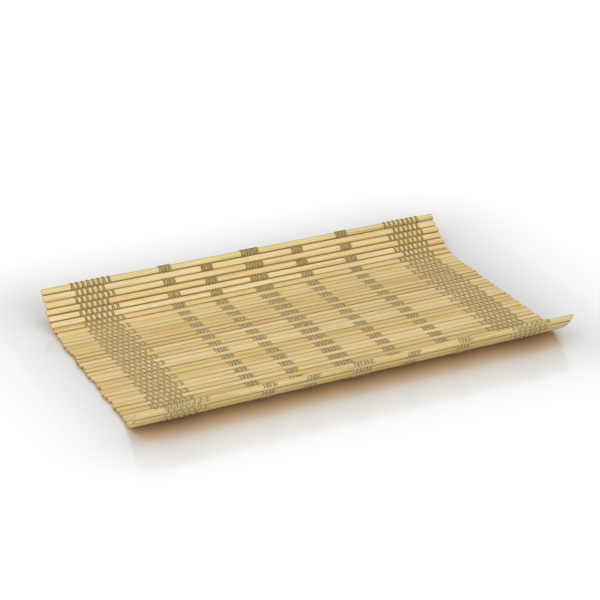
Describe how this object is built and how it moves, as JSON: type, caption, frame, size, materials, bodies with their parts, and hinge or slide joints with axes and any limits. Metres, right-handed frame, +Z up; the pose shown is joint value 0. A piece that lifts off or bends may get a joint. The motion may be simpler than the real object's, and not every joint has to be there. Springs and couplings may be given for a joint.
{
  "type": "sushi rolling mat",
  "caption": "Bamboo sushi rolling mat: thin slats bound side by side by columns of woven cotton thread, lying flat with both long edges curled up; it rolls up.",
  "frame": {"origin": "under the middle of the resting mat's box, on the surface it lies on", "axes": "+X along the slats, +Y towards the back edge, +Z up"},
  "size_m": [0.24, 0.1502, 0.019],
  "materials": {
    "bamboo": "bare split bamboo, satin",
    "thread": "matt cotton thread"
  },
  "bodies": {
    "link_01": {"slat_01": "bamboo", "back_thread_turn_1": "thread", "back_thread_turn_2": "thread", "back_thread_turn_3": "thread", "back_thread_turn_4": "thread", "back_thread_turn_5": "thread", "back_thread_turn_6": "thread", "back_thread_turn_7": "thread"},
    "link_02": {"slat_02": "bamboo"},
    "link_03": {"slat_03": "bamboo"},
    "link_04": {"slat_04": "bamboo"},
    "link_05": {"slat_05": "bamboo"},
    "link_06": {"slat_06": "bamboo"},
    "link_07": {"slat_07": "bamboo"},
    "link_08": {"slat_08": "bamboo"},
    "link_09": {"slat_09": "bamboo"},
    "link_10": {"slat_10": "bamboo"},
    "link_11": {"slat_11": "bamboo"},
    "link_12": {"slat_12": "bamboo"},
    "link_13": {"slat_13": "bamboo"},
    "link_14": {"slat_14": "bamboo"},
    "link_15": {"slat_15": "bamboo"},
    "link_16": {"slat_16": "bamboo"},
    "link_17": {"slat_17": "bamboo"},
    "link_18": {"slat_18": "bamboo"},
    "link_19": {"slat_19": "bamboo"},
    "link_20": {"slat_20": "bamboo"},
    "link_21": {"slat_21": "bamboo"},
    "link_22": {"slat_22": "bamboo"},
    "link_23": {"slat_23": "bamboo"},
    "link_24": {"slat_24": "bamboo"},
    "link_25": {"slat_25": "bamboo"},
    "link_26": {"slat_26": "bamboo"},
    "link_27": {"slat_27": "bamboo"},
    "link_28": {"slat_28": "bamboo"},
    "link_29": {"slat_29": "bamboo"},
    "link_30": {"slat_30": "bamboo"},
    "link_31": {"slat_31": "bamboo"},
    "link_32": {"slat_32": "bamboo"},
    "link_33": {"slat_33": "bamboo"},
    "link_34": {"slat_34": "bamboo"},
    "link_35": {"slat_35": "bamboo"},
    "link_36": {"slat_36": "bamboo"},
    "link_37": {"slat_37": "bamboo"},
    "link_38": {"slat_38": "bamboo"},
    "link_39": {"slat_39": "bamboo", "front_thread_turn_1": "thread", "front_thread_turn_2": "thread", "front_thread_turn_3": "thread", "front_thread_turn_4": "thread", "front_thread_turn_5": "thread", "front_thread_turn_6": "thread", "front_thread_turn_7": "thread"}
  },
  "joints": [
    {"name": "bend_19_20", "type": "hinge", "parent": "link_20", "child": "link_19", "pos_m": [0, 0.00201, 0.00135], "axis": [1, 0, 0], "range_deg": [0, 17.1]},
    {"name": "bend_18_19", "type": "hinge", "parent": "link_19", "child": "link_18", "pos_m": [0, 0.00611, 0.00135], "axis": [1, 0, 0], "range_deg": [0, 17.3]},
    {"name": "bend_17_18", "type": "hinge", "parent": "link_18", "child": "link_17", "pos_m": [0, 0.01021, 0.00135], "axis": [1, 0, 0], "range_deg": [0, 17.6]},
    {"name": "bend_16_17", "type": "hinge", "parent": "link_17", "child": "link_16", "pos_m": [0, 0.01431, 0.00135], "axis": [1, 0, 0], "range_deg": [0, 17.9]},
    {"name": "bend_15_16", "type": "hinge", "parent": "link_16", "child": "link_15", "pos_m": [0, 0.01841, 0.00135], "axis": [1, 0, 0], "range_deg": [0, 18.2]},
    {"name": "bend_14_15", "type": "hinge", "parent": "link_15", "child": "link_14", "pos_m": [0, 0.02251, 0.00135], "axis": [1, 0, 0], "range_deg": [0, 18.6]},
    {"name": "bend_13_14", "type": "hinge", "parent": "link_14", "child": "link_13", "pos_m": [0, 0.02661, 0.00135], "axis": [1, 0, 0], "range_deg": [0, 18.9]},
    {"name": "bend_12_13", "type": "hinge", "parent": "link_13", "child": "link_12", "pos_m": [0, 0.03071, 0.00135], "axis": [1, 0, 0], "range_deg": [0, 19.3]},
    {"name": "bend_11_12", "type": "hinge", "parent": "link_12", "child": "link_11", "pos_m": [0, 0.03481, 0.00135], "axis": [1, 0, 0], "range_deg": [0, 19.7]},
    {"name": "bend_10_11", "type": "hinge", "parent": "link_11", "child": "link_10", "pos_m": [0, 0.03891, 0.00135], "axis": [1, 0, 0], "range_deg": [0, 20.1]},
    {"name": "bend_09_10", "type": "hinge", "parent": "link_10", "child": "link_09", "pos_m": [0, 0.04301, 0.00135], "axis": [1, 0, 0], "range_deg": [0, 20.5]},
    {"name": "bend_08_09", "type": "hinge", "parent": "link_09", "child": "link_08", "pos_m": [0, 0.04711, 0.00135], "axis": [1, 0, 0], "range_deg": [-9.5, 11.5]},
    {"name": "bend_07_08", "type": "hinge", "parent": "link_08", "child": "link_07", "pos_m": [0, 0.05115, 0.00203], "axis": [1, 0, 0], "range_deg": [-9.5, 12]},
    {"name": "bend_06_07", "type": "hinge", "parent": "link_07", "child": "link_06", "pos_m": [0, 0.05503, 0.00336], "axis": [1, 0, 0], "range_deg": [-8.5, 13.6]},
    {"name": "bend_05_06", "type": "hinge", "parent": "link_06", "child": "link_05", "pos_m": [0, 0.05866, 0.00525], "axis": [1, 0, 0], "range_deg": [-7.5, 15.2]},
    {"name": "bend_04_05", "type": "hinge", "parent": "link_05", "child": "link_04", "pos_m": [0, 0.06202, 0.00761], "axis": [1, 0, 0], "range_deg": [-4.5, 18.8]},
    {"name": "bend_03_04", "type": "hinge", "parent": "link_04", "child": "link_03", "pos_m": [0, 0.06519, 0.01021], "axis": [1, 0, 0], "range_deg": [-1.5, 22.5]},
    {"name": "bend_02_03", "type": "hinge", "parent": "link_03", "child": "link_02", "pos_m": [0, 0.06828, 0.0129], "axis": [1, 0, 0], "range_deg": [0, 24.8]},
    {"name": "bend_01_02", "type": "hinge", "parent": "link_02", "child": "link_01", "pos_m": [0, 0.07138, 0.01559], "axis": [1, 0, 0], "range_deg": [0, 25.6]},
    {"name": "bend_20_21", "type": "hinge", "parent": "link_20", "child": "link_21", "pos_m": [0, -0.00209, 0.00135], "axis": [-1, 0, 0], "range_deg": [0, 16.8]},
    {"name": "bend_21_22", "type": "hinge", "parent": "link_21", "child": "link_22", "pos_m": [0, -0.00619, 0.00135], "axis": [-1, 0, 0], "range_deg": [0, 16.6]},
    {"name": "bend_22_23", "type": "hinge", "parent": "link_22", "child": "link_23", "pos_m": [0, -0.01029, 0.00135], "axis": [-1, 0, 0], "range_deg": [0, 16.3]},
    {"name": "bend_23_24", "type": "hinge", "parent": "link_23", "child": "link_24", "pos_m": [0, -0.01439, 0.00135], "axis": [-1, 0, 0], "range_deg": [0, 16.1]},
    {"name": "bend_24_25", "type": "hinge", "parent": "link_24", "child": "link_25", "pos_m": [0, -0.01849, 0.00135], "axis": [-1, 0, 0], "range_deg": [0, 15.9]},
    {"name": "bend_25_26", "type": "hinge", "parent": "link_25", "child": "link_26", "pos_m": [0, -0.02259, 0.00135], "axis": [-1, 0, 0], "range_deg": [0, 15.7]},
    {"name": "bend_26_27", "type": "hinge", "parent": "link_26", "child": "link_27", "pos_m": [0, -0.02669, 0.00135], "axis": [-1, 0, 0], "range_deg": [0, 15.5]},
    {"name": "bend_27_28", "type": "hinge", "parent": "link_27", "child": "link_28", "pos_m": [0, -0.03079, 0.00135], "axis": [-1, 0, 0], "range_deg": [0, 15.3]},
    {"name": "bend_28_29", "type": "hinge", "parent": "link_28", "child": "link_29", "pos_m": [0, -0.03489, 0.00135], "axis": [-1, 0, 0], "range_deg": [0, 15.1]},
    {"name": "bend_29_30", "type": "hinge", "parent": "link_29", "child": "link_30", "pos_m": [0, -0.03899, 0.00135], "axis": [-1, 0, 0], "range_deg": [0, 14.9]},
    {"name": "bend_30_31", "type": "hinge", "parent": "link_30", "child": "link_31", "pos_m": [0, -0.04309, 0.00135], "axis": [-1, 0, 0], "range_deg": [0, 14.7]},
    {"name": "bend_31_32", "type": "hinge", "parent": "link_31", "child": "link_32", "pos_m": [0, -0.04719, 0.00135], "axis": [-1, 0, 0], "range_deg": [0, 14.6]},
    {"name": "bend_32_33", "type": "hinge", "parent": "link_32", "child": "link_33", "pos_m": [0, -0.05129, 0.00135], "axis": [-1, 0, 0], "range_deg": [-6.5, 7.9]},
    {"name": "bend_33_34", "type": "hinge", "parent": "link_33", "child": "link_34", "pos_m": [0, -0.05537, 0.00181], "axis": [-1, 0, 0], "range_deg": [-7.5, 6.7]},
    {"name": "bend_34_35", "type": "hinge", "parent": "link_34", "child": "link_35", "pos_m": [0, -0.05934, 0.00281], "axis": [-1, 0, 0], "range_deg": [-9, 5.1]},
    {"name": "bend_35_36", "type": "hinge", "parent": "link_35", "child": "link_36", "pos_m": [0, -0.06312, 0.00441], "axis": [-1, 0, 0], "range_deg": [-10, 3.9]},
    {"name": "bend_36_37", "type": "hinge", "parent": "link_36", "child": "link_37", "pos_m": [0, -0.06656, 0.00664], "axis": [-1, 0, 0], "range_deg": [-10, 3.8]},
    {"name": "bend_37_38", "type": "hinge", "parent": "link_37", "child": "link_38", "pos_m": [0, -0.06956, 0.00944], "axis": [-1, 0, 0], "range_deg": [-9, 4.7]},
    {"name": "bend_38_39", "type": "hinge", "parent": "link_38", "child": "link_39", "pos_m": [0, -0.07208, 0.01267], "axis": [-1, 0, 0], "range_deg": [-8, 5.5]}
  ]
}
